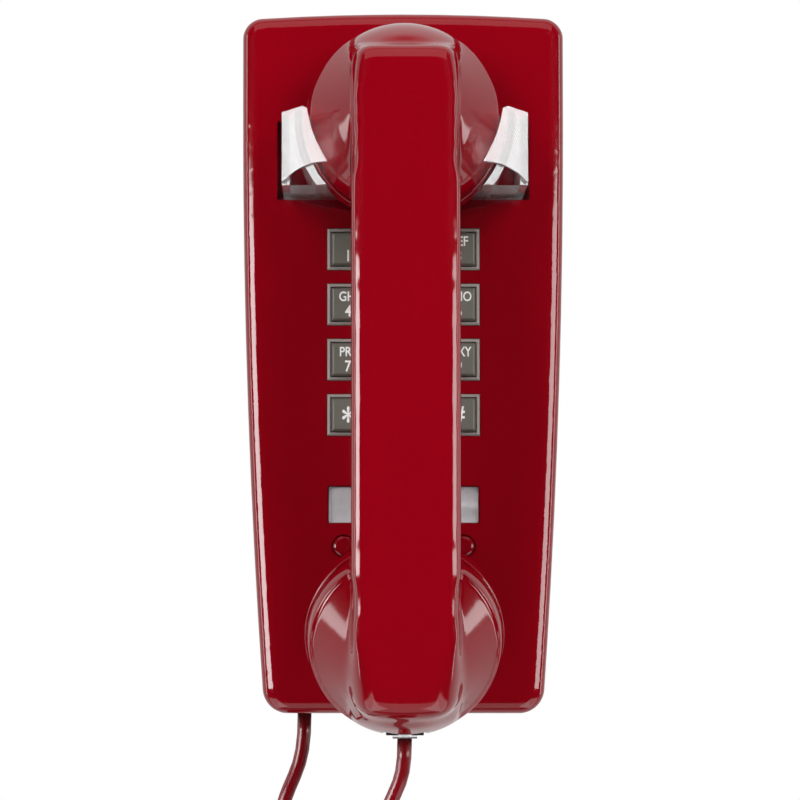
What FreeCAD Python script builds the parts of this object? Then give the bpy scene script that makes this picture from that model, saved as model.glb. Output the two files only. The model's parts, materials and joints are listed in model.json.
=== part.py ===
import FreeCAD, Part
import math
import os

# Corded touch-tone wall telephone, in millimetres.
# +X is to the right, +Z is up and +Y points into the wall. The origin is the centre of the
# back face of the steel base plate, so the telephone stands in front of the plane y = 0.

V = FreeCAD.Vector

# Housing
housing_height = 222.0
housing_top_width = 102.0
housing_bottom_width = 88.0
housing_top_depth = 46.0
housing_bottom_depth = 58.0
housing_wall = 2.5
housing_crown = 1.8
straight_side_length = 31.0
top_corner_radius = 6.5
bottom_corner_radius = 8.0
front_edge_radius = 5.0
rim_setback = 0.8

# Base plate
plate_thickness = 1.5
plate_clearance = 0.4
stud_spacing = 100.0
stud_head_radius = 4.6
stud_neck_width = 4.2
stud_neck_travel = 9.0
flange_depth = 14.0
flange_x = 7.5
flange_screw_y = -flange_depth / 2 - 2
boss_radius = 3.4
boss_height = 3.0

# Network board
network_half_width = 37.0
network_low_z = -28.0
network_high_z = 30.0
network_y = -22.0
network_thickness = 1.6
network_post_x = 33.0
network_post_low_z = -23.0
network_post_high_z = 25.0
network_post_radius = 2.5
network_part_gap = 0.05

# Hook pocket, cradle and switch
pocket_width = 80.0
pocket_height = 25.0
pocket_centre_z = 64.0
pocket_depth = 13.0
pocket_wall = 2.0
scoop_width = 69.0
scoop_height = 4.5
scoop_depth_share = 0.7
cradle_wall = 2.4
cradle_side_gap = 2.0
cradle_bar_height = 2.8
cradle_floor_gap = 1.2
cradle_arm_width = 18.0
cradle_arm_height = 4.0
ear_reach = 32.5
ear_rise = 0.4
lip_thickness = 2.6
lip_tip_x = 24.0
hook_pivot_y = -16.0
hook_pin_radius = 1.6
bracket_side_gap = 0.6
bracket_sheet = 1.5
bracket_drop = 22.0
bracket_rise = 7.0
bracket_foot = 9.0
shelf_reach = 20.0
pin_clearance = 0.05
spring_radius = 3.0
spring_wire = 0.5
plunger_radius = 1.5
plunger_offset = 14.0

# Keypad
key_pitch_x = 17.5
key_pitch_z = 17.5
keypad_centre_z = 9.5
bezel_size = 13.1
bezel_gap = 0.2
bezel_proud = 0.6
key_size = 10.6
key_gap = 0.3
key_proud = 2.6
key_travel = 2.0
key_flange = 0.9
key_flange_height = 1.5
frame_thickness = 2.0
mat_thickness = 1.0
board_thickness = 1.6
screw_radius = 1.2
screw_head_radius = 2.6
screw_head_height = 1.6
screw_clearance = 0.05

# Number card
card_width = 48.0
card_height = 12.0
card_centre_z = -45.1
card_recess = 1.7
card_thickness = 0.3

# Rests for the transmitter end
rest_spacing = 38.0
rest_z = -58.2
rest_radius = 3.2
rest_groove = 0.5
rest_proud = 2.2

# Handset
cap_radius = 31.0
cap_height = 8.0
cap_wall = 2.2
cup_radius = 30.7
cup_wall = 2.5
receiver_dome = 31.0
transmitter_dome = 28.0
dome_top_radius = 17.5
dome_shoulder_radius = 0.9
dome_shoulder_height = 0.5
dome_rim_height = 3.0
receiver_z = 72.9
receiver_y = -55.0
receiver_tilt = 14.0
transmitter_z = -83.2
transmitter_y = -67.0
transmitter_tilt = 16.0
handle_width = 33.4
handle_thickness = 20.0
handle_middle_y = -109.0
handle_top_y = -99.5
handle_bottom_y = -106.5
handle_top_z = 95.4
handle_bottom_z = -106.0
handle_edge_radius = 4.0
handle_wall = 2.6

# Modular jacks and plugs
plug_width = 7.6
plug_height = 6.6
plug_length = 12.0
plug_inserted = 10.8
jack_wall = 1.9
jack_depth = 15.0
latch_mouth_height = 4.5
jack_clearance = 0.15
base_jack_x = -31.5
base_jack_y = -30.0
handset_jack_y = -77.2
handset_jack_z = -115.4
receiver_case_radius = 24.0
receiver_case_height = 7.0
transmitter_case_radius = 22.0
transmitter_case_height = 4.5
terminal_cup_radius = 25.0
line_jack_z = -24.0

# Ringer
gong_radius = 18.0
gong_height = 12.0
gong_wall = 1.5
gong_spacing = 44.0
gong_z = -76.0
gong_front_y = -36.0
coil_rise = 34.5
ringer_coil_y = -24.0
clapper_ball = 2.2
clapper_length = 18.0
clapper_pin_radius = 1.2
wheel_radius = 12.0
wheel_thickness = 3.2
wheel_x = 26.0
wheel_show = 3.0
wheel_y = -14.0
wheel_pin_radius = 2.0

# Handset cord: the wire's diameter, the coil's outside diameter and the route of its axis
cord_diameter = 4.6
coil_diameter = 14.0

face_tilt = math.degrees(math.atan2(housing_bottom_depth - housing_top_depth, housing_height))
face_y = -(housing_top_depth + housing_bottom_depth) / 2
top_z = housing_height / 2
base_lead_points = [V(-31.5, -30.0, -112.25), V(-31.5, -30.0, -120.0), V(-33.0, -30.2, -129.0),
                    V(-36.6, -30.8, -137.0), V(-38.5, -31.0, -142.5)]
handset_lead_points = [V(0.0, -77.2, -116.65), V(0.0, -77.2, -123.5), V(-1.4, -76.6, -130.5),
                       V(-4.8, -75.3, -137.5), V(-6.6, -74.5, -142.5)]
coil_points = [V(-33.8, -31.0, -142.5), V(-34.8, -29.6, -168.0), V(-36.1, -28.0, -198.0),
               V(-36.3, -28.2, -229.0), V(-35.7, -28.4, -257.5), V(-28.9, -37.6, -276.0),
               V(-17.9, -52.4, -282.0), V(-6.9, -67.2, -275.0), V(0.1, -76.7, -257.0),
               V(1.3, -77.6, -230.0), V(0.7, -77.4, -199.0), V(-0.9, -75.8, -169.0),
               V(-1.9, -74.5, -142.5)]


# ---------------------------------------------------------------- helpers

def box(x0, x1, y0, y1, z0, z1):
    return Part.makeBox(x1 - x0, y1 - y0, z1 - z0, V(x0, y0, z0))


def rod(radius, start, end):
    axis = end - start
    return Part.makeCylinder(radius, axis.Length, start, axis)


def union(solids):
    return solids[0].multiFuse(solids[1:]).removeSplitter()


def group(solids):
    return Part.makeCompound(solids)


def arc(start, middle, end):
    return Part.Arc(start, middle, end).toShape()


def line(start, end):
    return Part.LineSegment(start, end).toShape()


def extrude(edges, direction):
    return Part.Face(Part.Wire(edges)).extrude(direction)


# Turns a shape made square to the wall so that its front lies in the housing's sloping face.
def tilted(shape):
    turned = shape.copy()
    turned.rotate(V(0, face_y, 0), V(1, 0, 0), -face_tilt)
    return turned


def tilted_point(point):
    turn = FreeCAD.Rotation(V(1, 0, 0), -face_tilt)
    pivot = V(0, face_y, 0)
    return turn.multVec(point - pivot) + pivot


def edges_along_y(solid):
    found = []
    for edge in solid.Edges:
        ends = [vertex.Point for vertex in edge.Vertexes]
        if len(ends) == 2 and abs(ends[0].x - ends[1].x) + abs(ends[0].z - ends[1].z) < 1e-6:
            found.append(edge)
    return found


def rounded_box(x0, x1, y0, y1, z0, z1, radius):
    solid = box(x0, x1, y0, y1, z0, z1)
    return solid.makeFillet(radius, edges_along_y(solid))


# ---------------------------------------------------------------- housing and base plate

# Half the housing's width at a height, from the straight upper sides into the tapering arc.
def half_width(z):
    arc_top = top_z - straight_side_length
    drop = (housing_top_width - housing_bottom_width) / 2
    length = arc_top + top_z
    radius = (length * length + drop * drop) / (2 * drop)
    fall = max(arc_top - z, 0.0)
    return housing_top_width / 2 - (radius - math.sqrt(radius * radius - fall * fall))


def outline_block(inset, back_y, front_y):
    side_top = top_z - inset - housing_crown
    arc_top = top_z - straight_side_length
    bottom = -top_z + inset
    points = {}
    for side in (-1, 1):
        points[side] = [V(side * (half_width(z) - inset), back_y, z)
                        for z in (side_top, arc_top, (arc_top + bottom) / 2, bottom)]
    left, right = points[-1], points[1]
    crown = V(0, back_y, top_z - inset)
    edges = [arc(left[0], crown, right[0]), line(right[0], right[1]),
             arc(right[1], right[2], right[3]), line(right[3], left[3]),
             arc(left[3], left[2], left[1]), line(left[1], left[0])]
    block = extrude(edges, V(0, front_y - back_y, 0))
    for corner_z, radius in ((side_top, top_corner_radius), (bottom, bottom_corner_radius)):
        corners = [edge for edge in edges_along_y(block) if abs(edge.Vertexes[0].Z - corner_z) < 1e-6]
        block = block.makeFillet(radius - inset, corners)
    return block


def face_slab(inset):
    far = 4 * housing_height
    return tilted(box(-far, far, face_y + inset, far, -far, far))


def housing_block(inset, back_y):
    block = outline_block(inset, back_y, -2 * housing_bottom_depth).common(face_slab(inset))
    front = [face for face in block.Faces if face.normalAt(0, 0).y < -0.9][0]
    return block.makeFillet(front_edge_radius - inset, front.Edges)


def key_places():
    names = ["1", "2", "3", "4", "5", "6", "7", "8", "9", "star", "0", "pound"]
    for index, name in enumerate(names):
        column = index % 3
        row = index // 3
        yield name, (column - 1) * key_pitch_x, keypad_centre_z + (1.5 - row) * key_pitch_z


pocket_floor_y = face_y + pocket_depth
pocket_bottom = pocket_centre_z - pocket_height / 2
pocket_top = pocket_centre_z + pocket_height / 2


# The dished relief below the pocket: part of a wide cone, cut off level with the pocket's floor.
def scoop():
    radius = (scoop_width ** 2 / 4 + scoop_height ** 2) / (2 * scoop_height)
    centre = V(0, face_y, pocket_bottom - scoop_height + radius)
    depth = scoop_height
    slope = depth / scoop_depth_share
    cone = Part.makeCone(radius + slope, radius - slope, 2 * depth, centre - V(0, depth, 0), V(0, 1, 0))
    window = box(-scoop_width, scoop_width, face_y - depth, face_y + depth,
                 pocket_bottom - 2 * scoop_height, pocket_bottom + 0.5)
    return cone.common(window)


def arm_slot():
    half = cradle_arm_width / 2 + 1.5
    low = pocket_bottom + cradle_floor_gap - 1.0
    return box(-half, half, pocket_floor_y - 1, pocket_floor_y + pocket_wall + 1,
               low, low + cradle_arm_height + 6.0)


def make_housing():
    shell = housing_block(0, -rim_setback).cut(housing_block(housing_wall, 10))
    half = pocket_width / 2
    pocket_shell = box(-half - pocket_wall, half + pocket_wall, face_y + housing_wall / 2,
                       pocket_floor_y + pocket_wall, pocket_bottom - pocket_wall,
                       pocket_top + pocket_wall)
    bosses = [rod(boss_radius, V(side * flange_x, flange_screw_y, -top_z + housing_wall / 2),
                  V(side * flange_x, flange_screw_y, -top_z + housing_wall + boss_height))
              for side in (-1, 1)]
    body = union([shell, tilted(pocket_shell)] + bosses)
    cuts = [tilted(box(-half, half, face_y - 9, pocket_floor_y, pocket_bottom, pocket_top)),
            tilted(scoop()), tilted(arm_slot())]
    opening = bezel_size / 2 + bezel_gap
    for name, x, z in key_places():
        cuts.append(tilted(box(x - opening, x + opening, face_y - 5, face_y + 5,
                               z - opening, z + opening)))
    cuts.append(tilted(rounded_box(-card_width / 2, card_width / 2, face_y - 5, face_y + card_recess,
                                   card_centre_z - card_height / 2, card_centre_z + card_height / 2,
                                   0.8)))
    for side in (-1, 1):
        x = side * rest_spacing / 2
        cuts.append(tilted(rod(rest_radius + rest_groove, V(x, face_y - 5, rest_z),
                               V(x, face_y + 1.0, rest_z))))
        cuts.append(tilted(rod(rest_radius * 0.6 + 0.1, V(x, face_y - 5, rest_z),
                               V(x, face_y + 5, rest_z))))
        cuts.append(rod(screw_radius + 0.5, V(side * flange_x, flange_screw_y, -top_z - 1),
                        V(side * flange_x, flange_screw_y, -top_z + 12)))
        cuts.append(rod(screw_head_radius + 0.3, V(side * flange_x, flange_screw_y, -top_z - 1),
                        V(side * flange_x, flange_screw_y, -top_z + 2.2)))
    jack_half_x = plug_width / 2 + jack_wall + jack_clearance
    jack_half_y = plug_height / 2 + jack_wall + jack_clearance
    cuts.append(box(base_jack_x - jack_half_x - 0.2, base_jack_x + jack_half_x + 0.2,
                    base_jack_y - jack_half_y - 0.2, base_jack_y + jack_half_y + 0.2,
                    -top_z - 1, -top_z + 6))
    wheel_z = -top_z - wheel_show + wheel_radius
    slot_half = math.sqrt(wheel_radius ** 2 - (wheel_z + top_z) ** 2) + 4.5
    cuts.append(box(wheel_x - slot_half, wheel_x + slot_half, wheel_y - wheel_thickness / 2 - 0.6,
                    wheel_y + wheel_thickness / 2 + 0.6, -top_z - 1, -top_z + 5))
    return body.cut(Part.makeCompound(cuts))


def network_posts():
    return [(x, z) for x in (-network_post_x, network_post_x)
            for z in (network_post_low_z, network_post_high_z)]


def make_base_plate():
    inset = housing_wall + plate_clearance
    plate = outline_block(inset, 0, -plate_thickness)
    flange_z = -top_z + housing_wall + boss_height + 0.3
    flange = box(-flange_x - 5, flange_x + 5, -flange_depth, -plate_thickness / 2,
                 flange_z, flange_z + plate_thickness)
    posts = [rod(network_post_radius, V(x, -plate_thickness / 2, z), V(x, network_y, z))
             for x, z in network_posts()]
    body = union([plate, flange] + posts)
    cuts = []
    for z in (-stud_spacing / 2, stud_spacing / 2):
        cuts.append(rod(stud_head_radius, V(0, -plate_thickness - 1, z), V(0, 1, z)))
        neck = box(-stud_neck_width / 2, stud_neck_width / 2, -plate_thickness - 1, 1,
                   z, z + stud_neck_travel)
        cuts.append(neck)
        cuts.append(rod(stud_neck_width / 2, V(0, -plate_thickness - 1, z + stud_neck_travel),
                        V(0, 1, z + stud_neck_travel)))
    cuts.append(rounded_box(-9, 9, -plate_thickness - 1, 1, line_jack_z - 7.5, line_jack_z + 7.5, 1.5))
    for side in (-1, 1):
        cuts.append(rod(screw_radius, V(side * flange_x, flange_screw_y, flange_z - 1),
                        V(side * flange_x, flange_screw_y, flange_z + 4)))
    for x, z in network_posts():
        cuts.append(rod(screw_radius, V(x, network_y - 1, z), V(x, network_y + 8, z)))
    return body.cut(Part.makeCompound(cuts))


# A cross-headed screw: start is the middle of its head's face, and direction is the way it is driven.
def screw(start, direction, length):
    head = Part.makeCylinder(screw_head_radius, screw_head_height, start, direction)
    shank = Part.makeCylinder(screw_radius - screw_clearance, length,
                              start + direction * (screw_head_height - 0.1), direction)
    recess_turn = FreeCAD.Rotation(V(0, 0, 1), direction)
    recess = None
    for wide, deep in ((0.55, 2.9), (2.9, 0.55)):
        bar = Part.makeBox(wide, deep, 0.9, V(-wide / 2, -deep / 2, -0.1))
        recess = bar if recess is None else recess.fuse(bar)
    recess.Placement = FreeCAD.Placement(start, recess_turn)
    return union([head, shank]).cut(recess)


def make_housing_screws():
    return group([screw(V(side * flange_x, flange_screw_y, -top_z + 0.5), V(0, 0, 1), 8.0)
                  for side in (-1, 1)])


def make_rests():
    solids = []
    for side in (-1, 1):
        x = side * rest_spacing / 2
        head = rod(rest_radius, V(x, face_y - rest_proud, rest_z), V(x, face_y + 0.95, rest_z))
        crown = [edge for edge in head.Edges if edge.Vertexes[0].Y < face_y and edge.Closed]
        head = head.makeFillet(1.2, crown)
        stem = rod(rest_radius * 0.6, V(x, face_y + 0.5, rest_z), V(x, face_y + 4.6, rest_z))
        solids.append(tilted(union([head, stem])))
    return group(solids)


# ---------------------------------------------------------------- keypad

frame_front = face_y + housing_wall + 0.05
frame_back = frame_front + frame_thickness
flange_back = frame_back + 0.05 + key_flange_height
mat_front = flange_back + key_travel + 0.8
board_front = mat_front + mat_thickness
board_back = board_front + board_thickness
keypad_half_x = key_pitch_x + bezel_size / 2 + 6.5
keypad_half_z = 1.5 * key_pitch_z + bezel_size / 2 + 3.2


def keypad_corners():
    return [(x * (keypad_half_x - 3.0), keypad_centre_z + z * (keypad_half_z - 3.0))
            for x in (-1, 1) for z in (-1, 1)]


# A square frustum along Y: its front is narrower than its back by the taper on each side.
def frustum(x, z, size, taper, front_y, back_y):
    loops = []
    for y, half in ((front_y, size / 2 - taper), (back_y, size / 2)):
        corners = [V(x - half, y, z - half), V(x + half, y, z - half),
                   V(x + half, y, z + half), V(x - half, y, z + half)]
        loops.append(Part.makePolygon(corners + corners[:1]))
    return Part.makeLoft(loops, True)


def make_keypad_frame():
    low = keypad_centre_z - keypad_half_z
    high = keypad_centre_z + keypad_half_z
    plate = rounded_box(-keypad_half_x, keypad_half_x, frame_front, frame_back, low, high, 3.0)
    solids = [plate]
    holes = []
    hole = key_size / 2 + key_gap
    for name, x, z in key_places():
        solids.append(frustum(x, z, bezel_size, 0, face_y, frame_front + 0.5))
        solids.append(frustum(x, z, bezel_size, bezel_proud, face_y - bezel_proud, face_y))
        holes.append(box(x - hole, x + hole, face_y - 5, frame_back + 1, z - hole, z + hole))
    for x, z in keypad_corners():
        solids.append(rod(2.8, V(x, frame_back - 0.5, z), V(x, board_front, z)))
        holes.append(rod(screw_radius, V(x, frame_back + 0.5, z), V(x, board_front + 1, z)))
    return tilted(union(solids).cut(Part.makeCompound(holes)))


def make_key(x, z):
    stem = box(x - key_size / 2, x + key_size / 2, face_y - bezel_proud, flange_back - 0.1,
               z - key_size / 2, z + key_size / 2)
    crown = frustum(x, z, key_size, 0.7, face_y - key_proud, face_y - bezel_proud)
    half = key_size / 2 + key_flange
    flange = box(x - half, x + half, frame_back + 0.05, flange_back, z - half, z + half)
    return tilted(union([stem, crown, flange]))


def make_key_mat():
    low = keypad_centre_z - keypad_half_z + 0.5
    high = keypad_centre_z + keypad_half_z - 0.5
    half = keypad_half_x - 0.5
    sheet = rounded_box(-half, half, mat_front, board_front, low, high, 2.5)
    domes = [Part.makeCone(3.4, 2.2, 0.6, V(x, mat_front + 0.1, z), V(0, -1, 0))
             for name, x, z in key_places()]
    posts = [rod(3.0, V(x, mat_front - 1, z), V(x, board_front + 1, z)) for x, z in keypad_corners()]
    return tilted(union([sheet] + domes).cut(Part.makeCompound(posts)))


def make_keypad_board():
    low = keypad_centre_z - keypad_half_z + 0.5
    high = keypad_centre_z + keypad_half_z - 0.5
    half = keypad_half_x - 0.5
    sheet = rounded_box(-half, half, board_front, board_back, low, high, 2.5)
    holes = [rod(screw_radius + 0.3, V(x, board_front - 1, z), V(x, board_back + 1, z))
             for x, z in keypad_corners()]
    chip = box(-9, 9, board_back - 0.2, board_back + 2.4, keypad_centre_z - 4, keypad_centre_z + 4)
    return tilted(union([sheet, chip]).cut(Part.makeCompound(holes)))


def make_keypad_screws():
    return group([tilted(screw(V(x, board_back + screw_head_height, z), V(0, -1, 0), 5.5))
                  for x, z in keypad_corners()])


def make_number_card():
    half = card_width / 2 - 0.4
    low = card_centre_z - card_height / 2 + 0.4
    back = face_y + card_recess
    return tilted(rounded_box(-half, half, back - card_thickness, back,
                              low, low + card_height - 0.8, 0.5))


def make_card_window():
    half = card_width / 2 - 0.15
    low = card_centre_z - card_height / 2 + 0.15
    high = low + card_height - 0.3
    back = face_y + card_recess - card_thickness
    window = rounded_box(-half, half, face_y - 0.2, back, low, high, 0.6)
    notch = rod(1.1, V(half, face_y - 2, card_centre_z), V(half, face_y + 3, card_centre_z))
    bevel = frustum(0, card_centre_z, 2 * half, 0.8, face_y - 0.2, back + 0.4)
    return tilted(window.common(bevel).cut(notch))


# ---------------------------------------------------------------- network board

def make_network_board():
    front = network_y - network_thickness
    board = rounded_box(-network_half_width, network_half_width, front, network_y,
                        network_low_z, network_high_z, 2.0)
    holes = [rod(screw_radius + 0.3, V(x, front - 2, z), V(x, network_y + 2, z))
             for x, z in network_posts()]
    return board.cut(Part.makeCompound(holes))


# A block on the wall side of the board: its corner, its width and height, and how far it stands out.
def board_block(x, z, width, height, depth):
    back = network_y + network_part_gap
    return box(x, x + width, back, back + depth, z, z + height)


def board_can(x, z, radius, depth):
    back = network_y + network_part_gap
    return rod(radius, V(x, back, z), V(x, back + depth, z))


def make_network_parts():
    transformer = union([board_block(-26, 4, 18, 18, 14), board_block(-22, 0, 10, 26, 17)])
    relay = board_block(2, -10, 18, 12, 11)
    capacitors = [board_can(6, 20, 4.0, 14), board_can(17, 20, 4.0, 14), board_can(24, 8, 3.0, 10)]
    terminals = [board_block(-28 + 7 * n, -14, 5, 8, 7) for n in range(3)]
    return group([transformer, relay] + capacitors + terminals)


def make_network_screws():
    head_y = network_y - network_thickness - screw_head_height
    return group([screw(V(x, head_y, z), V(0, 1, 0), 6.5) for x, z in network_posts()])


# ---------------------------------------------------------------- hook

arm_bottom = pocket_bottom + cradle_floor_gap
arm_top = arm_bottom + cradle_arm_height
hook_pivot_z = (arm_bottom + arm_top) / 2
lip_back_y = face_y - ear_reach
ear_outer_x = pocket_width / 2 - cradle_side_gap
ear_inner_radius = cap_radius + 0.6
ear_top_z = pocket_top + ear_rise


# One ear seen from the front: a plate with a sloping top, an inner edge round the receiver and an
# arched lower edge.
def lip_plate():
    outer_low = V(ear_outer_x, lip_back_y, pocket_bottom + 1.7)
    outer_high = V(ear_outer_x, lip_back_y, ear_top_z - 1.9)
    peak = V(ear_outer_x - 6.4, lip_back_y, ear_top_z)
    inner_high = V(ear_outer_x - 7.8, lip_back_y, ear_top_z - 0.7)
    tip = V(lip_tip_x, lip_back_y, pocket_bottom + 8.2)
    inner_middle = (inner_high + tip) * 0.5 + V(0.9, 0, -0.3)
    arch = V((ear_outer_x + lip_tip_x) / 2 + 0.6, lip_back_y, pocket_bottom + 6.6)
    edges = [line(outer_low, outer_high), line(outer_high, peak), line(peak, inner_high),
             arc(inner_high, inner_middle, tip), arc(tip, arch, outer_low)]
    return extrude(edges, V(0, -lip_thickness, 0))


def make_ear():
    clear_y = face_y - 3.0
    web_bottom = arm_bottom
    ring = rod(ear_inner_radius + cradle_wall, V(0, pocket_floor_y - 2, receiver_z),
               V(0, lip_back_y - 0.5, receiver_z))
    ring = ring.cut(rod(ear_inner_radius, V(0, 0, receiver_z), V(0, lip_back_y - 9, receiver_z)))
    low_zone = box(lip_tip_x - 3.0, ear_outer_x, lip_back_y - 0.5, pocket_floor_y - 2.5,
                   web_bottom, pocket_top - 2.5)
    high_zone = box(lip_tip_x, ear_outer_x, lip_back_y - 0.5, clear_y,
                    pocket_top - 6.0, ear_top_z - 1.0)
    inner_wall = ring.common(low_zone.fuse(high_zone))
    outer_low = box(ear_outer_x - cradle_wall, ear_outer_x, lip_back_y - 0.5, pocket_floor_y - 2.5,
                    web_bottom, pocket_top - 2.5)
    outer_high = box(ear_outer_x - cradle_wall, ear_outer_x, lip_back_y - 0.5, clear_y,
                     pocket_top - 6.0, ear_top_z - 2.5)
    return union([inner_wall, outer_low, outer_high, lip_plate()])


def make_hook_cradle():
    right = make_ear()
    left = right.mirror(V(0, 0, 0), V(1, 0, 0))
    bar = box(-ear_outer_x, ear_outer_x, face_y - 6.0, pocket_floor_y - 2.5,
              arm_bottom, arm_bottom + cradle_bar_height)
    half = cradle_arm_width / 2
    arm = box(-half, half, pocket_floor_y - 6, hook_pivot_y, arm_bottom, arm_top)
    eye = rod(cradle_arm_height / 2 + 1.6, V(-half, hook_pivot_y, hook_pivot_z),
              V(half, hook_pivot_y, hook_pivot_z))
    bore = rod(hook_pin_radius + pin_clearance, V(-half - 1, hook_pivot_y, hook_pivot_z),
               V(half + 1, hook_pivot_y, hook_pivot_z))
    low = union([left, right, bar]).cut(tilted_inverse_receiver())
    return tilted(union([low, arm, eye]).cut(bore))


# Room for the receiver cap above the cradle's bar, given in the cradle's own square frame.
def tilted_inverse_receiver():
    room = rod(ear_inner_radius, V(0, pocket_floor_y - 1, receiver_z),
               V(0, lip_back_y + 0.01, receiver_z))
    return room.common(box(-60, 60, lip_back_y, 0, arm_bottom + cradle_bar_height, 200))


def make_hook_bracket():
    half = cradle_arm_width / 2 + bracket_side_gap
    low = hook_pivot_z - bracket_drop
    high = hook_pivot_z + bracket_rise
    sheets = []
    for side in (-1, 1):
        x0, x1 = sorted((side * half, side * (half + bracket_sheet)))
        sheets.append(box(x0, x1, hook_pivot_y - 6, -plate_thickness, low, high))
        f0, f1 = sorted((side * half, side * (half + bracket_foot)))
        sheets.append(box(f0, f1, -plate_thickness - bracket_sheet, -plate_thickness, low, high))
    sheets.append(box(-half - bracket_sheet, half + bracket_sheet, hook_pivot_y - shelf_reach,
                      hook_pivot_y + 2, low, low + bracket_sheet))
    pin_reach = half + bracket_foot
    pin_hole = rod(hook_pin_radius, V(-pin_reach, hook_pivot_y, hook_pivot_z),
                   V(pin_reach, hook_pivot_y, hook_pivot_z))
    return tilted_about_pivot(union(sheets)).cut(tilted(pin_hole))


# The bracket stands square on the base plate, and only its pin follows the face's slope.
def tilted_about_pivot(shape):
    moved = shape.copy()
    pivot = tilted_point(V(0, hook_pivot_y, hook_pivot_z))
    moved.translate(V(0, 0, pivot.z - hook_pivot_z))
    return moved


def make_hook_pin():
    half = cradle_arm_width / 2 + bracket_side_gap + bracket_sheet + 1.3
    return tilted(rod(hook_pin_radius, V(-half, hook_pivot_y, hook_pivot_z),
                      V(half, hook_pivot_y, hook_pivot_z)))


pivot_place = tilted_point(V(0, hook_pivot_y, hook_pivot_z))
shelf_top = pivot_place.z - bracket_drop + bracket_sheet
lever_y = pivot_place.y - plunger_offset


# Height of the arm's underside above a point that is a distance in front of the pivot.
def arm_underside(distance):
    point = tilted_point(V(0, hook_pivot_y - distance, arm_bottom))
    return point.z


def make_hook_spring():
    height = arm_underside(plunger_offset) - shelf_top - 2 * spring_wire - 0.3
    turns = 6
    helix = Part.makeHelix(height / turns, height, spring_radius)
    section = Part.Wire(Part.makeCircle(spring_wire, V(spring_radius, 0, 0), V(0, 1, 0)))
    coil = Part.Wire(helix.Edges).makePipeShell([section], True, True)
    coil.translate(V(-5.0, lever_y, shelf_top + spring_wire + 0.1))
    return coil


def make_hookswitch():
    top = shelf_top + 9.0
    body = box(0.5, 9.0, lever_y - 5, lever_y + 5, shelf_top + 0.05, top)
    bore = rod(plunger_radius + 0.05, V(5.0, lever_y, shelf_top + 1.5), V(5.0, lever_y, top + 1))
    return body.cut(bore)


def make_hookswitch_plunger():
    top = arm_underside(plunger_offset - plunger_radius) - 0.12
    return rod(plunger_radius, V(5.0, lever_y, shelf_top + 4.5), V(5.0, lever_y, top))


# ---------------------------------------------------------------- ringer

wheel_axis_z = -top_z - wheel_show + wheel_radius


def gong_places():
    return [(-gong_spacing / 2, "gong_left"), (gong_spacing / 2, "gong_right")]


def gong_profile(radius, height):
    shoulder = 0.42 * radius
    return [line(V(0, 0, 0), V(radius, 0, 0)), line(V(radius, 0, 0), V(radius, 0, height - shoulder)),
            arc(V(radius, 0, height - shoulder),
                V(radius - shoulder * 0.293, 0, height - shoulder * 0.293),
                V(radius - shoulder, 0, height)),
            line(V(radius - shoulder, 0, height), V(0, 0, height)), line(V(0, 0, height), V(0, 0, 0))]


def gong_solid(radius, height):
    return Part.Face(Part.Wire(gong_profile(radius, height))).revolve(V(0, 0, 0), V(0, 0, 1), 360)


def make_gong(x):
    inner = gong_solid(gong_radius - gong_wall, gong_height - gong_wall)
    inner.translate(V(0, 0, -0.01))
    bell = gong_solid(gong_radius, gong_height).cut(inner)
    bell = bell.cut(Part.makeCylinder(screw_radius + 0.2, 40, V(0, 0, -10)))
    bell.rotate(V(0, 0, 0), V(1, 0, 0), 90)
    bell.translate(V(x, gong_front_y + gong_height, gong_z))
    return bell


def make_ringer_frame():
    low = gong_z - 12
    high = gong_z + coil_rise + 5.5
    plate = rounded_box(-36, 36, -plate_thickness - 3.5, -plate_thickness - 2, low, high, 2.0)
    feet = [rod(3.0, V(x, -plate_thickness, z), V(x, -plate_thickness - 3, z))
            for x in (-31, 31) for z in (low + 5, high - 5)]
    posts = [rod(3.0, V(x, -plate_thickness - 3, gong_z),
                 V(x, gong_front_y + gong_wall + 0.05, gong_z)) for x, name in gong_places()]
    cheek = [box(x, x + 1.5, ringer_coil_y - 5, -plate_thickness - 3, high - 10, high)
             for x in (-19.5, 18.0)]
    pin_post = rod(2.6, V(0, -plate_thickness - 3, gong_z + clapper_length),
                   V(0, -20.0, gong_z + clapper_length))
    body = union([plate] + feet + posts + cheek + [pin_post])
    cuts = [rod(screw_radius, V(x, -40, gong_z), V(x, -20, gong_z)) for x, name in gong_places()]
    cuts.append(rod(clapper_pin_radius, V(0, -40, gong_z + clapper_length),
                    V(0, -12, gong_z + clapper_length)))
    cuts.append(rod(stud_head_radius + 0.3, V(0, -12, -stud_spacing / 2), V(0, 0, -stud_spacing / 2)))
    cuts.append(box(-4.0, 4.0, -12, 0, -stud_spacing / 2, high + 1))
    return body.cut(Part.makeCompound(cuts))


def make_ringer_coil():
    y = ringer_coil_y
    z = gong_z + coil_rise
    core = rod(2.2, V(-17.9, y, z), V(17.9, y, z))
    winding = rod(7.5, V(-15, y, z), V(15, y, z))
    ends = [rod(8.5, V(x, y, z), V(x + 1.5, y, z)) for x in (-16.5, 15)]
    return union([core, winding] + ends)


def make_gong_screws():
    head_y = gong_front_y - screw_head_height
    return group([screw(V(x, head_y, gong_z), V(0, 1, 0), 9.0) for x, name in gong_places()])


def make_clapper_pin():
    z = gong_z + clapper_length
    return rod(clapper_pin_radius, V(0, -12.5, z), V(0, -31.5, z))


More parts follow.
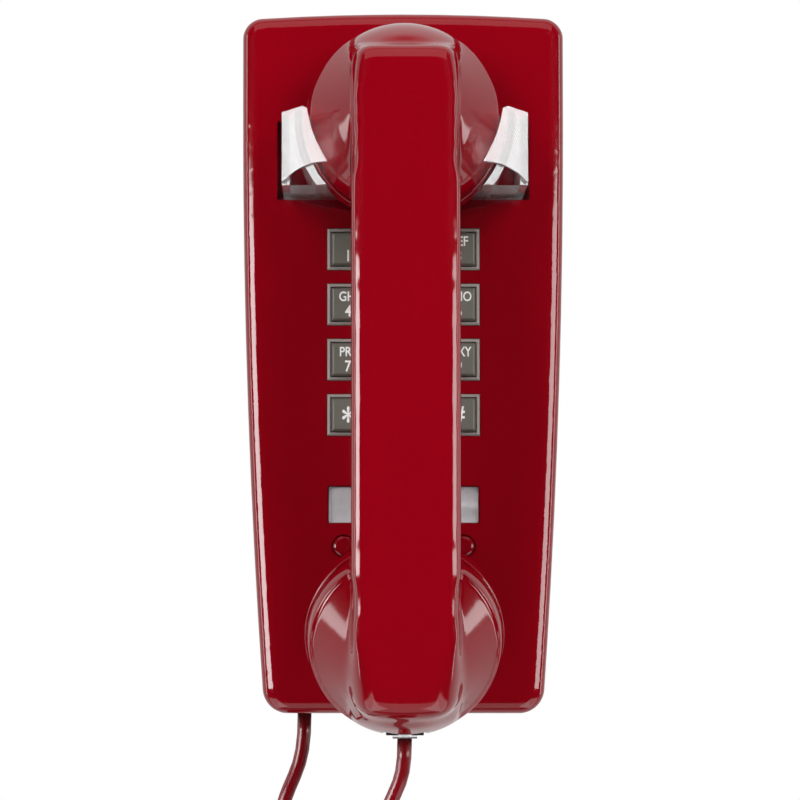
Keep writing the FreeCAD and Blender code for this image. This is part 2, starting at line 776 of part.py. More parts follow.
def make_clapper():
    z = gong_z + clapper_length
    ball_y = gong_front_y + gong_height - 3.0
    hub = rod(3.0, V(0, ball_y + 3, z), V(0, ball_y - 3, z))
    arm = box(-0.8, 0.8, ball_y - 1.5, ball_y + 1.5, gong_z, z)
    ball = Part.makeSphere(clapper_ball, V(0, ball_y, gong_z))
    bore = rod(clapper_pin_radius + pin_clearance, V(0, ball_y + 5, z), V(0, ball_y - 5, z))
    return union([hub, arm, ball]).cut(bore)


def make_volume_wheel():
    wheel = rod(wheel_radius, V(wheel_x, wheel_y - wheel_thickness / 2, wheel_axis_z),
                V(wheel_x, wheel_y + wheel_thickness / 2, wheel_axis_z))
    notches = []
    for step in range(24):
        angle = math.radians(15 * step)
        x = wheel_x + (wheel_radius + 0.3) * math.cos(angle)
        z = wheel_axis_z + (wheel_radius + 0.3) * math.sin(angle)
        notches.append(rod(0.8, V(x, wheel_y - 3, z), V(x, wheel_y + 3, z)))
    bore = rod(wheel_pin_radius + pin_clearance, V(wheel_x, wheel_y - 5, wheel_axis_z),
               V(wheel_x, wheel_y + 5, wheel_axis_z))
    return wheel.cut(Part.makeCompound(notches + [bore]))


def make_volume_pin():
    stem = rod(wheel_pin_radius, V(wheel_x, -plate_thickness, wheel_axis_z),
               V(wheel_x, wheel_y - wheel_thickness / 2 - 0.3, wheel_axis_z))
    collar = rod(wheel_pin_radius + 1.5, V(wheel_x, -plate_thickness, wheel_axis_z),
                 V(wheel_x, wheel_y + wheel_thickness / 2 + 0.2, wheel_axis_z))
    head = rod(wheel_pin_radius + 1.5, V(wheel_x, wheel_y - wheel_thickness / 2 - 0.2, wheel_axis_z),
               V(wheel_x, wheel_y - wheel_thickness / 2 - 1.4, wheel_axis_z))
    return union([stem, collar, head])


# ---------------------------------------------------------------- jacks and plugs

# A modular jack with its mouth facing down at mouth_z.
def jack(x, y, mouth_z):
    half_x = plug_width / 2 + jack_clearance
    half_y = plug_height / 2 + jack_clearance
    body = box(x - half_x - jack_wall, x + half_x + jack_wall, y - half_y - jack_wall,
               y + half_y + jack_wall, mouth_z, mouth_z + jack_depth)
    mouth = box(x - half_x, x + half_x, y - half_y, y + half_y, mouth_z - 1,
                mouth_z + jack_depth - 2.5)
    latch_way = box(x - 2.0, x + 2.0, y - half_y - 1.4, y - half_y + 0.5, mouth_z - 1, mouth_z + 9.0)
    latch_mouth = box(x - 2.0, x + 2.0, y - half_y - jack_wall - 1, y - half_y + 0.5,
                      mouth_z - 1, mouth_z + latch_mouth_height)
    return body.cut(mouth).cut(latch_way).cut(latch_mouth)


# A modular plug pushed up into such a jack, with its latch on the side away from the wall.
def plug(x, y, mouth_z):
    low = mouth_z - (plug_length - plug_inserted)
    high = mouth_z + plug_inserted
    body = box(x - plug_width / 2, x + plug_width / 2, y - plug_height / 2, y + plug_height / 2,
               low, high)
    latch_y = y - plug_height / 2
    side = [V(x - 1.6, latch_y + 0.3, high - 1.0), V(x - 1.6, latch_y - 0.6, high - 3.0),
            V(x - 1.6, latch_y - 2.4, low + 0.2), V(x - 1.6, latch_y - 1.4, low + 0.2),
            V(x - 1.6, latch_y + 0.3, high - 4.5)]
    edges = [line(side[n], side[(n + 1) % len(side)]) for n in range(len(side))]
    latch = extrude(edges, V(3.2, 0, 0))
    slots = [box(x - 2.35 + 1.27 * n, x - 1.45 + 1.27 * n, y + plug_height / 2 - 1.0,
                 y + plug_height / 2 + 1, high - 5.0, high + 1) for n in range(4)]
    return union([body, latch]).cut(Part.makeCompound(slots))


def make_line_jack():
    front = -plate_thickness - 14
    body = box(-8.5, 8.5, front, -plate_thickness - 0.05, line_jack_z - 8, line_jack_z + 8)
    mouth = box(-4.9, 4.9, front + 2.0, 1, line_jack_z - 3.4, line_jack_z + 3.4)
    return body.cut(mouth)


# ---------------------------------------------------------------- handset

# Puts a shape made along +Z on a handset end: +Z becomes the way from the cap's face to the handle.
def seated(shape, y, z, tilt):
    placed = shape.copy()
    placed.rotate(V(0, 0, 0), V(1, 0, 0), 90 + tilt)
    placed.translate(V(0, y, z))
    return placed


def on_receiver(shape):
    return seated(shape, receiver_y, receiver_z, -receiver_tilt)


def on_transmitter(shape):
    return seated(shape, transmitter_y, transmitter_z, transmitter_tilt)


def dome(height, inset, start):
    radius = cup_radius - inset
    top = cap_height + height - inset
    base = cap_height + start
    shoulder = cap_height + (height - inset) * dome_shoulder_height
    rim = cap_height + dome_rim_height
    edges = [line(V(0, 0, base), V(radius, 0, base)),
             line(V(radius, 0, base), V(radius, 0, rim)),
             arc(V(radius, 0, rim), V(radius * dome_shoulder_radius, 0, shoulder),
                 V(dome_top_radius, 0, top)),
             line(V(dome_top_radius, 0, top), V(0, 0, top)), line(V(0, 0, top), V(0, 0, base))]
    return Part.Face(Part.Wire(edges)).revolve(V(0, 0, 0), V(0, 0, 1), 360)


# The grip from the side: a long shallow arc outside, another inside, and ends that run into the cups.
def handle_block(inset):
    half = handle_width / 2 - inset
    top_end_y = handle_top_y + inset
    bottom_end_y = handle_bottom_y + inset
    inner_y = handle_middle_y + handle_thickness - inset
    receiver_inner = receiver_y - cap_height - 1.0
    transmitter_inner = transmitter_y - cap_height - 1.0
    middle_z = (handle_top_z + handle_bottom_z) / 2
    profile = [V(-half, top_end_y, handle_top_z - inset),
               V(-half, receiver_inner, handle_top_z + 5.0 - inset),
               V(-half, receiver_inner, receiver_z - 17.0 + inset),
               V(-half, inner_y + 4.0, receiver_z - 32.0 + inset),
               V(-half, inner_y + 4.0, transmitter_z + 32.0 - inset),
               V(-half, transmitter_inner, transmitter_z + 17.0 - inset),
               V(-half, transmitter_inner, handle_bottom_z - 3.0 + inset),
               V(-half, bottom_end_y, handle_bottom_z + inset)]
    edges = [line(profile[0], profile[1]), line(profile[1], profile[2]), line(profile[2], profile[3]),
             arc(profile[3], V(-half, inner_y, middle_z), profile[4]),
             line(profile[4], profile[5]), line(profile[5], profile[6]), line(profile[6], profile[7]),
             arc(profile[7], V(-half, handle_middle_y + inset, middle_z), profile[0])]
    block = extrude(edges, V(2 * half, 0, 0))
    radius = handle_edge_radius - min(inset, handle_edge_radius - 1.0)
    outer = [edge for edge in block.Edges
             if all(vertex.Y < inner_y - 1.0 for vertex in edge.Vertexes)]
    block = block.makeFillet(radius, outer)
    grip = [edge for edge in block.Edges
            if abs(edge.BoundBox.YMin - inner_y) < 0.3 and edge.BoundBox.ZLength > 60]
    return block.makeFillet(radius * 1.2, grip)


# The space on the wall side of a cup's rim.
def wall_side(seat_on):
    return seat_on(Part.makeCylinder(cap_radius + 2.5, 40, V(0, 0, cap_height - 40)))


def make_handset_handle():
    outer = union([handle_block(0), on_receiver(dome(receiver_dome, 0, 0)),
                   on_transmitter(dome(transmitter_dome, 0, 0))])
    outer = outer.cut(wall_side(on_receiver)).cut(wall_side(on_transmitter))
    cavity = [handle_block(handle_wall), on_receiver(dome(receiver_dome, cup_wall, -20)),
              on_transmitter(dome(transmitter_dome, cup_wall, -20))]
    outer = outer.cut(union(cavity))
    half_x = plug_width / 2 + jack_clearance + jack_wall + 0.15
    half_y = plug_height / 2 + jack_clearance + jack_wall + 0.15
    mouth = box(-half_x, half_x, handset_jack_y - half_y, handset_jack_y + half_y,
                handset_jack_z - 12, handset_jack_z + jack_depth + 0.3)
    return outer.cut(mouth)


def hole_ring(radius, count, hole_radius, start=0.0):
    holes = []
    for step in range(count):
        angle = 2 * math.pi * (step + start) / count
        holes.append(Part.makeCylinder(hole_radius, 12, V(radius * math.cos(angle),
                                                         radius * math.sin(angle), -4)))
    return holes


def cap_solid(rings):
    body = Part.makeCylinder(cap_radius, cap_height - 0.2)
    rim = [edge for edge in body.Edges if edge.Closed and edge.Vertexes[0].Z < 0.01]
    body = body.makeFillet(2.0, rim)
    top = [edge for edge in body.Edges if edge.Closed and edge.Vertexes[0].Z > cap_height - 0.3]
    body = body.makeFillet(0.6, top)
    skirt = Part.makeCylinder(cup_radius - cup_wall - 0.3, cap_height + 3.5)
    inside = Part.makeCylinder(cup_radius - cup_wall - 2.5, cap_height + 4, V(0, 0, cap_wall))
    dish = Part.makeCone(cap_radius - 7.0, cap_radius - 13.0, 0.8, V(0, 0, -0.01))
    holes = [Part.makeCylinder(1.1, 12, V(0, 0, -4))]
    for radius, count, hole_radius in rings:
        holes += hole_ring(radius, count, hole_radius)
    return union([body, skirt]).cut(inside).cut(dish).cut(Part.makeCompound(holes))


def make_receiver_cap():
    return on_receiver(cap_solid([(4.5, 6, 1.1), (9.0, 12, 1.1)]))


def make_transmitter_cap():
    return on_transmitter(cap_solid([(5.0, 6, 1.3), (10.0, 12, 1.3), (15.0, 18, 1.3)]))


def make_receiver_unit():
    high = cap_wall + receiver_case_height
    case = Part.makeCylinder(receiver_case_radius, receiver_case_height, V(0, 0, cap_wall + 0.1))
    back = Part.makeCylinder(receiver_case_radius - 9.0, 5.0, V(0, 0, high))
    terminals = [Part.makeCylinder(2.0, 2.5, V(x, 0, high + 5.0)) for x in (-7, 7)]
    return on_receiver(union([case, back] + terminals))


def make_transmitter_unit():
    case = Part.makeCylinder(transmitter_case_radius, transmitter_case_height,
                             V(0, 0, cap_wall + 0.1))
    back = Part.makeCylinder(transmitter_case_radius - 9.5, 4.5,
                             V(0, 0, cap_wall + transmitter_case_height))
    return on_transmitter(union([case, back]))


def make_terminal_cup():
    height = cap_wall + 9.3
    floor = Part.makeCylinder(terminal_cup_radius, 2.0, V(0, 0, height))
    wall = Part.makeCylinder(terminal_cup_radius, 6.0, V(0, 0, height - 4.0))
    wall = wall.cut(Part.makeCylinder(terminal_cup_radius - 1.6, 8.0, V(0, 0, height - 6.0)))
    contacts = [Part.makeCylinder(1.5, 3.0, V(x, 6, height + 1.9)) for x in (-8, 8)]
    jack_room = box(-9, 9, handset_jack_y - 6.4, handset_jack_y + 9.4, handset_jack_z - 10,
                    handset_jack_z + jack_depth + 0.6)
    return on_transmitter(union([floor, wall] + contacts)).cut(jack_room)


# ---------------------------------------------------------------- cord

# Straight runs joined by tangent arcs, each as large as its two runs allow.
def cord_path(points, label):
    edges = []
    radii = []
    last = points[0]
    for before, corner, after in zip(points, points[1:], points[2:]):
        back = before - corner
        ahead = after - corner
        reach = 0.45 * min(back.Length, ahead.Length)
        back.normalize()
        ahead.normalize()
        half_turn = (math.pi - back.getAngle(ahead)) / 2
        radii.append(reach / math.tan(half_turn))
        first = corner + back * reach
        second = corner + ahead * reach
        middle_way = back + ahead
        middle_way.normalize()
        middle = corner + middle_way * (radii[-1] / math.cos(half_turn) - radii[-1])
        edges.append(line(last, first))
        edges.append(arc(first, middle, second))
        last = second
    edges.append(line(last, points[-1]))
    print(label, "bend radii", [round(radius, 1) for radius in radii])
    return Part.Wire(edges)


def cord_tube(points, diameter, label):
    path = cord_path(points, label)
    section = Part.Wire(Part.makeCircle(diameter / 2, points[0], points[1] - points[0]))
    tube = path.makePipeShell([section], True, False)
    expected = math.pi * diameter ** 2 / 4 * path.Length
    print(label, "length", round(path.Length, 1), "volume share", round(tube.Volume / expected, 4))
    return tube


# ---------------------------------------------------------------- all pieces

def all_pieces():
    pieces = {
        "housing": make_housing(),
        "base_plate": make_base_plate(),
        "housing_screws": make_housing_screws(),
        "rest_bumpers": make_rests(),
        "keypad_frame": make_keypad_frame(),
        "key_mat": make_key_mat(),
        "keypad_board": make_keypad_board(),
        "keypad_screws": make_keypad_screws(),
        "number_card": make_number_card(),
        "card_window": make_card_window(),
        "network_board": make_network_board(),
        "network_parts": make_network_parts(),
        "network_screws": make_network_screws(),
        "hook_bracket": make_hook_bracket(),
        "hook_pivot_pin": make_hook_pin(),
        "hook_cradle": make_hook_cradle(),
        "hook_spring": make_hook_spring(),
        "hookswitch": make_hookswitch(),
        "hookswitch_plunger": make_hookswitch_plunger(),
        "ringer_frame": make_ringer_frame(),
        "ringer_coil": make_ringer_coil(),
        "gong_screws": make_gong_screws(),
        "clapper_pin": make_clapper_pin(),
        "clapper": make_clapper(),
        "volume_wheel": make_volume_wheel(),
        "volume_pin": make_volume_pin(),
        "base_jack": jack(base_jack_x, base_jack_y, -top_z),
        "base_cord_plug": plug(base_jack_x, base_jack_y, -top_z),
        "line_jack": make_line_jack(),
        "handset_handle": make_handset_handle(),
        "receiver_cap": make_receiver_cap(),
        "receiver_unit": make_receiver_unit(),
        "transmitter_cap": make_transmitter_cap(),
        "transmitter_unit": make_transmitter_unit(),
        "terminal_cup": make_terminal_cup(),
        "handset_jack": jack(0, handset_jack_y, handset_jack_z),
        "handset_cord_plug": plug(0, handset_jack_y, handset_jack_z),
        "base_cord_lead": cord_tube(base_lead_points, cord_diameter, "base lead"),
        "curly_cord": cord_tube(coil_points, coil_diameter, "curly cord"),
        "handset_cord_lead": cord_tube(handset_lead_points, cord_diameter, "handset lead"),
    }
    for x, name in gong_places():
        pieces[name] = make_gong(x)
    for name, x, z in key_places():
        pieces["key_" + name] = make_key(x, z)
    return pieces


os.makedirs("parts", exist_ok=True)
for name, shape in all_pieces().items():
    shape.exportStep("parts/" + name + ".step")
    print(name, "solids", len(shape.Solids), "valid", shape.isValid(), "volume", round(shape.Volume, 1))
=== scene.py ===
import bpy
import bmesh
import json
import math
from mathutils.bvhtree import BVHTree
from mathutils import Matrix, Vector

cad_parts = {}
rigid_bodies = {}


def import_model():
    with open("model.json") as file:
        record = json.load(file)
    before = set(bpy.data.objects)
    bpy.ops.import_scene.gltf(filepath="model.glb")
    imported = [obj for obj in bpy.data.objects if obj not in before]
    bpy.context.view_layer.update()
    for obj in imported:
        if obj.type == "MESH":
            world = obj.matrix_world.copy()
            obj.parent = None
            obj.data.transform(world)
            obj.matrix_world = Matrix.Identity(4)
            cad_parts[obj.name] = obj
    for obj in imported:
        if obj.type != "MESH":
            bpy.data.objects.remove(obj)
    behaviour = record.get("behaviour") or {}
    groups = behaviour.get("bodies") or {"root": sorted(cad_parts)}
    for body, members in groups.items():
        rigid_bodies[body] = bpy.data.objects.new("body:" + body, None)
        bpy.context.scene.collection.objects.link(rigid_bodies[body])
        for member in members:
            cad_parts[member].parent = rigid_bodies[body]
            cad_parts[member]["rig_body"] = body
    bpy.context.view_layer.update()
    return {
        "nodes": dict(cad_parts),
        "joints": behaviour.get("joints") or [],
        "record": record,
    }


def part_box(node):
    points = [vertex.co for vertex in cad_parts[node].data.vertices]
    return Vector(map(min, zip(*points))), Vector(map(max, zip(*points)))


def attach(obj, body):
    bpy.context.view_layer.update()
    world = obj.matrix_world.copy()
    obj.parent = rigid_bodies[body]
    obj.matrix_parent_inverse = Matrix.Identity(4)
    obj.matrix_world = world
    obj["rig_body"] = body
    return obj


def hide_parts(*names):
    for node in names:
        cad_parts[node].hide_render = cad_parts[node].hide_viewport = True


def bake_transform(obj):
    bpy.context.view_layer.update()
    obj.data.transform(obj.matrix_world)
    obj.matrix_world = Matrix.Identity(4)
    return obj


# A glossy red wall telephone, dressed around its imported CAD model. Metres, +Z up, wall at y = 0.
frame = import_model()
mm = 0.001
print("stage: frame loaded with", len(frame["nodes"]), "nodes")


# Small helpers

def newObject(name, data):
    made = bpy.data.objects.new(name, data)
    bpy.context.scene.collection.objects.link(made)
    return made


def plainMesh(piece):  # modifiers become plain mesh
    depsgraph = bpy.context.evaluated_depsgraph_get()
    mesh = bpy.data.meshes.new_from_object(piece.evaluated_get(depsgraph))
    piece.modifiers.clear()
    piece.data = mesh
    return piece


def meshFrom(name, points, faces):
    mesh = bpy.data.meshes.new(name)
    mesh.from_pydata([tuple(point) for point in points], [], faces)
    mesh.update()
    return mesh


# Node trees: Wire wraps a socket for maths, and Graph.node makes every other node.

class Wire:
    def __init__(self, graph, socket):
        self.graph = graph
        self.socket = socket

    def math(self, operation, first, second):
        return self.graph.node("ShaderNodeMath", {"operation": operation}, {0: first, 1: second})

    def __add__(self, other):
        return self.math("ADD", self, other)

    def __rsub__(self, other):
        return self.math("SUBTRACT", other, self)

    def __mul__(self, other):
        return self.math("MULTIPLY", self, other)

    __radd__ = __add__
    __rmul__ = __mul__


class Graph:
    def __init__(self, tree):
        self.tree = tree

    def node(self, kind, settings=None, inputs=None, output=0):
        made = self.tree.nodes.new(kind)
        for label, value in (settings or {}).items():
            if label == "stops":
                for index, (place, shade) in enumerate(value):
                    stop = made.color_ramp.elements[index]
                    stop.position = place
                    stop.color = (shade, shade, shade, 1)
            else:
                setattr(made, label, value)
        for label, value in (inputs or {}).items():
            if isinstance(value, Wire):
                self.tree.links.new(value.socket, made.inputs[label])
            else:
                made.inputs[label].default_value = value
        return Wire(self, made.outputs[output]) if made.outputs else None

    def place(self, stretch=(1, 1, 1)):
        seat = self.node("ShaderNodeTexCoord", output="Object")
        return self.node("ShaderNodeMapping", None, {"Vector": seat, "Scale": stretch})

    def noise(self, scale, detail=2.0, stretch=(1, 1, 1)):
        values = {"Vector": self.place(stretch), "Scale": scale, "Detail": detail}
        return self.node("ShaderNodeTexNoise", None, values)

    def cells(self, scale, feature="F1", output="Distance", stretch=(1, 1, 1)):
        values = {"Vector": self.place(stretch), "Scale": scale}
        return self.node("ShaderNodeTexVoronoi", {"feature": feature}, values, output)

    def ramp(self, value, low, high):  # 0 below low, 1 above high, either way round
        if low > high:
            return 1 - self.ramp(value, high, low)
        stops = [(low, 0.0), (high, 1.0)]
        return self.node("ShaderNodeValToRGB", {"stops": stops}, {"Fac": value})

    def mix(self, share, first, second):
        settings = {"data_type": "RGBA"}
        return self.node("ShaderNodeMix", settings, {0: share, 6: first, 7: second}, 2)

    def bump(self, height, distance, strength=1.0, normal=None):
        values = {"Height": height, "Distance": distance, "Strength": strength}
        if normal:
            values["Normal"] = normal
        return self.node("ShaderNodeBump", None, values)

    def surface(self, values):
        shader = self.node("ShaderNodeBsdfPrincipled", None, values)
        self.node("ShaderNodeOutputMaterial", None, {"Surface": shader})


def startMaterial(name):
    material = bpy.data.materials.new(name)
    material.use_nodes = True
    material.node_tree.nodes.clear()
    return material, Graph(material.node_tree)


def shade(colour, factor):
    return (colour[0] * factor, colour[1] * factor, colour[2] * factor, 1)


# Moulded plastic: slow colour drift, handling smudges, moulding ripple and fine scuffs.
def plasticFinish(name, colour, gloss, ripple=0.0000008, rippleScale=260,
                  drift=0.05, grain=0.0):
    material, graph = startMaterial(name)
    cloud = graph.noise(30, 3)
    tint = graph.mix(cloud, shade(colour, 1 - drift), shade(colour, 1 + drift))
    smudge = graph.ramp(graph.noise(48, 5, (1, 1, 0.6)), 0.42, 0.72)
    scuff = graph.ramp(graph.noise(260, 3, (7, 1, 0.25)), 0.63, 0.72)
    roughness = gloss + 0.35 * gloss * smudge + 0.5 * gloss * scuff
    normal = graph.bump(graph.noise(rippleScale, 2), ripple)
    if grain:
        normal = graph.bump(graph.noise(5200, 2), grain, 1.0, normal)
    graph.surface({"Base Color": tint, "Roughness": roughness, "Normal": normal, "IOR": 1.5})
    return material


# Metal: rolling or drawing lines along one axis, spangle where it is plated, dulled patches.
def metalFinish(name, colour, gloss, lines=(1, 40, 40), spangle=0.0):
    material, graph = startMaterial(name)
    drawn = graph.noise(160, 4, lines)
    patch = graph.noise(45, 4)
    tint = graph.mix(patch, shade(colour, 0.8), shade(colour, 1.08))
    roughness = gloss + 0.16 * drawn + 0.12 * patch
    if spangle:
        flake = graph.cells(spangle, output="Color")
        tint = graph.mix(0.22, tint, flake)
        tint = graph.node("ShaderNodeHueSaturation", None, {"Saturation": 0.15, "Color": tint})
    normal = graph.bump(drawn, 0.000006)
    graph.surface({"Base Color": tint, "Metallic": 1.0, "Roughness": roughness, "Normal": normal})
    return material


# Clear moulded plastic with flow lines in it and a light haze.
def clearFinish(name, colour, gloss, haze, alpha=1.0, clear=1.0):
    material, graph = startMaterial(name)
    cloud = graph.noise(90, 3)
    tint = graph.mix(cloud, shade(colour, 0.96), shade(colour, 1.0))
    flow = graph.noise(70, 2, (1, 1, 3))
    roughness = gloss + haze * graph.ramp(graph.noise(140, 4), 0.45, 0.75)
    normal = graph.bump(flow, 0.00012, 0.5)
    graph.surface({"Base Color": tint, "Roughness": roughness, "Normal": normal,
                   "Transmission Weight": clear, "IOR": 1.49, "Alpha": alpha})
    return material


def paperFinish(name, colour):
    material, graph = startMaterial(name)
    fibre = graph.noise(2600, 4, (1, 1, 0.3))
    tint = graph.mix(graph.ramp(fibre, 0.35, 0.7), shade(colour, 0.93), shade(colour, 1.0))
    normal = graph.bump(fibre, 0.00002)
    graph.surface({"Base Color": tint, "Roughness": 0.55 + 0.2 * fibre, "Normal": normal})
    return material


# Circuit board: solder resist over copper tracks, which show as a lighter pattern.
def boardFinish(name, colour, track):
    material, graph = startMaterial(name)
    lines = graph.cells(190, "DISTANCE_TO_EDGE", "Distance", (1, 0.01, 1))
    copper = graph.ramp(lines, 0.10, 0.06)
    weave = graph.noise(900, 2)
    tint = graph.mix(copper, shade(colour, 1.0), shade(track, 1.0))
    normal = graph.bump(copper + 0.2 * weave, 0.00003)
    graph.surface({"Base Color": tint, "Roughness": 0.28 + 0.15 * weave, "Normal": normal})
    return material


# Enamelled winding wire: the turns as ridges along X, each a little different in tone.
def windingFinish(name, colour):
    material, graph = startMaterial(name)
    turn = graph.noise(900, 1, (1, 0.02, 0.02))
    tint = graph.mix(turn, shade(colour, 0.65), shade(colour, 1.25))
    roughness = 0.2 + 0.15 * graph.noise(300, 3)
    graph.surface({"Base Color": tint, "Metallic": 0.75, "Roughness": roughness,
                   "Normal": graph.bump(turn, 0.00004)})
    return material


# Vinyl cord jacket: streaks along the cord, read from its own UV map.
def cordFinish(name, colour):
    material, graph = startMaterial(name)
    along = graph.node("ShaderNodeUVMap", {"uv_map": "jacket"})
    streaks = graph.node("ShaderNodeMapping", None, {"Vector": along, "Scale": (9, 6, 1)})
    streak = graph.node("ShaderNodeTexNoise", None, {"Vector": streaks, "Scale": 3.0, "Detail": 3.0})
    cloud = graph.noise(60, 3)
    tint = graph.mix(0.5 * streak + 0.5 * cloud, shade(colour, 0.86), shade(colour, 1.1))
    roughness = 0.16 + 0.12 * graph.ramp(cloud, 0.4, 0.7)
    normal = graph.bump(streak, 0.00004)
    graph.surface({"Base Color": tint, "Roughness": roughness, "Normal": normal, "IOR": 1.48})
    return material


red = (0.225, 0.0, 0.005)
finishes = {
    "red_shell": plasticFinish("redShell", red, 0.07),
    "red_rest": plasticFinish("redRest", shade(red, 0.9)[:3], 0.10),
    "bezel_grey": plasticFinish("bezelGrey", (0.30, 0.266, 0.246), 0.30, grain=0.000012),
    "key_grey": plasticFinish("keyGrey", (0.135, 0.130, 0.108), 0.32, grain=0.00001, drift=0.08),
    "mat_rubber": plasticFinish("matRubber", (0.50, 0.50, 0.48), 0.55, grain=0.00002),
    "black_plastic": plasticFinish("blackPlastic", (0.012, 0.012, 0.013), 0.28, grain=0.00001),
    "white_plastic": plasticFinish("whitePlastic", (0.62, 0.60, 0.54), 0.35, grain=0.00001),
    "zinc_steel": metalFinish("zincSteel", (0.60, 0.60, 0.59), 0.22, (1, 1, 14), 140),
    "spring_steel": metalFinish("springSteel", (0.62, 0.62, 0.63), 0.18),
    "gong_brass": metalFinish("gongBrass", (0.75, 0.52, 0.20), 0.20, (20, 1, 20)),
    "coil_copper": windingFinish("coilCopper", (0.55, 0.20, 0.07)),
    "board_green": boardFinish("boardGreen", (0.02, 0.11, 0.035), (0.06, 0.24, 0.07)),
    "card_white": paperFinish("cardWhite", (0.84, 0.82, 0.84)),
    "clear_plastic": clearFinish("clearPlastic", (0.97, 0.97, 0.98), 0.02, 0.05, 0.85, 0.85),
    "clear_plug": clearFinish("clearPlug", (0.96, 0.96, 0.97), 0.04, 0.05),
    "cord_red": cordFinish("cordRed", (0.175, 0.002, 0.006)),
    "window": clearFinish("windowClear", (0.97, 0.97, 0.98), 0.02, 0.03, 0.2),
    "legend": plasticFinish("legendWhite", (0.86, 0.86, 0.85), 0.4, drift=0.03),
}
print("stage: finishes made")


# Camera, floor and studio light, in metres

studio = {
    "cameraAway": 1.2, "cameraSide": -0.018, "cameraHeight": -0.0120, "viewSide": -0.0011,
    "faceFront": 0.052, "frameWidth": 0.253,
    "floorHeight": -0.45, "floorRadius": 0.9, "floorCorners": 96,
    "roomGlow": 0.03, "backGlow": 0.75, "lightAway": 1.4, "fillAway": 2.0,
}


def makeCamera():
    data = bpy.data.cameras.new("camera")
    data.lens = data.sensor_width * studio["cameraAway"] / studio["frameWidth"]
    data.shift_x = (studio["viewSide"] - studio["cameraSide"]) / studio["frameWidth"]
    camera = newObject("camera", data)
    away = studio["cameraAway"] + studio["faceFront"]
    camera.location = (studio["cameraSide"], -away, studio["cameraHeight"])
    camera.rotation_euler = (math.radians(90), 0, 0)
    bpy.context.scene.camera = camera


def makeFloor():
    corners = studio["floorCorners"]
    turns = [step * math.tau / corners for step in range(corners)]
    rim = [Vector((math.cos(turn), math.sin(turn), 0)) for turn in turns]
    points = [point * studio["floorRadius"] + Vector((0, 0, studio["floorHeight"])) for point in rim]
    floor = newObject("floor", meshFrom("floor", points, [list(range(corners))]))
    material, graph = startMaterial("floorPale")
    cloud = graph.noise(6, 3)
    tint = graph.mix(cloud, (0.80, 0.80, 0.80, 1), (0.86, 0.86, 0.86, 1))
    graph.surface({"Base Color": tint, "Roughness": 0.6 + 0.1 * cloud})
    floor.data.materials.append(material)
    floor.visible_glossy = False


# White to the camera, bright behind the telephone and dim in front of it.
def makeWorld():
    world = bpy.data.worlds.new("studio")
    bpy.context.scene.world = world
    world.use_nodes = True
    world.node_tree.nodes.clear()
    graph = Graph(world.node_tree)
    direction = graph.node("ShaderNodeTexCoord", output="Generated")
    parts = graph.node("ShaderNodeSeparateXYZ", None, {0: direction}, "Y")
    behind = graph.ramp(0.5 * parts + 0.5, 0.47, 0.64)
    direct = graph.node("ShaderNodeLightPath", output="Is Camera Ray")
    room = studio["roomGlow"] + studio["backGlow"] * behind
    strength = direct + (1 - direct) * room
    glow = graph.node("ShaderNodeBackground", None, {"Color": (1, 1, 1, 1), "Strength": strength})
    graph.node("ShaderNodeOutputWorld", None, {"Surface": glow})


# Softboxes, each lit from both sides where it is paired; the right one of a pair has its share of
# the left one's radiance. Gloss lights are seen only in reflections, and the fill only lights.
cradleOnly = bpy.data.collections.new("cradleOnly")
middle = (0, -0.06, 0)
pairedLights = [
    {"name": "fill", "azimuth": 38, "elevation": 28, "size": (1.2, 1.2), "radiance": 7.6,
     "away": studio["fillAway"], "fill": True},
    {"name": "stripe", "azimuth": 60, "elevation": 0, "size": (0.86, 0.45), "radiance": 13.0,
     "rightShare": 0.6, "target": (0, -0.06, 0.015)},
    {"name": "ear", "azimuth": 38, "elevation": 10, "size": (0.6, 0.3), "radiance": 16.0,
     "target": (0, -0.06, 0.09), "onto": cradleOnly},
    {"name": "flank", "azimuth": 97, "elevation": 0, "size": (0.16, 1.1), "radiance": 5.0},
    {"name": "low", "azimuth": 62, "elevation": -52, "size": (1.3, 1.0), "radiance": 1.7},
]
singleLights = [
    {"name": "top", "azimuth": 0, "elevation": 66, "size": (2.0, 1.2), "radiance": 0.9},
    {"name": "under", "azimuth": 0, "elevation": -62, "size": (1.6, 1.0), "radiance": 0.9},
]


def softbox(light, side, share):
    width, height = light["size"]
    data = bpy.data.lights.new(light["name"], "AREA")
    data.shape = "RECTANGLE"
    data.size = width
    data.size_y = height
    data.energy = light["radiance"] * share * math.pi * width * height
    lamp = newObject(light["name"], data)
    turn = math.radians(light["azimuth"] * side)
    rise = math.radians(light["elevation"])
    out = Vector((math.sin(turn) * math.cos(rise), -math.cos(turn) * math.cos(rise), math.sin(rise)))
    lamp.location = Vector(light.get("target", middle)) + out * light.get("away", studio["lightAway"])
    lamp.rotation_mode = "QUATERNION"
    lamp.rotation_quaternion = out.to_track_quat("Z", "Y")
    lamp.visible_camera = False
    lamp.visible_diffuse = light.get("fill", False)
    lamp.visible_glossy = not light.get("fill", False)
    if "onto" in light:
        lamp.light_linking.receiver_collection = light["onto"]


def makeLights():
    for side in (-1, 1):
        for light in pairedLights:
            softbox(light, side, light.get("rightShare", 1.0) if side > 0 else 1.0)
    for light in singleLights:
        softbox(light, 1, 1.0)


makeCamera()
makeFloor()
makeWorld()
makeLights()
bpy.context.scene.view_settings.view_transform = "Standard"
print("stage: studio ready")


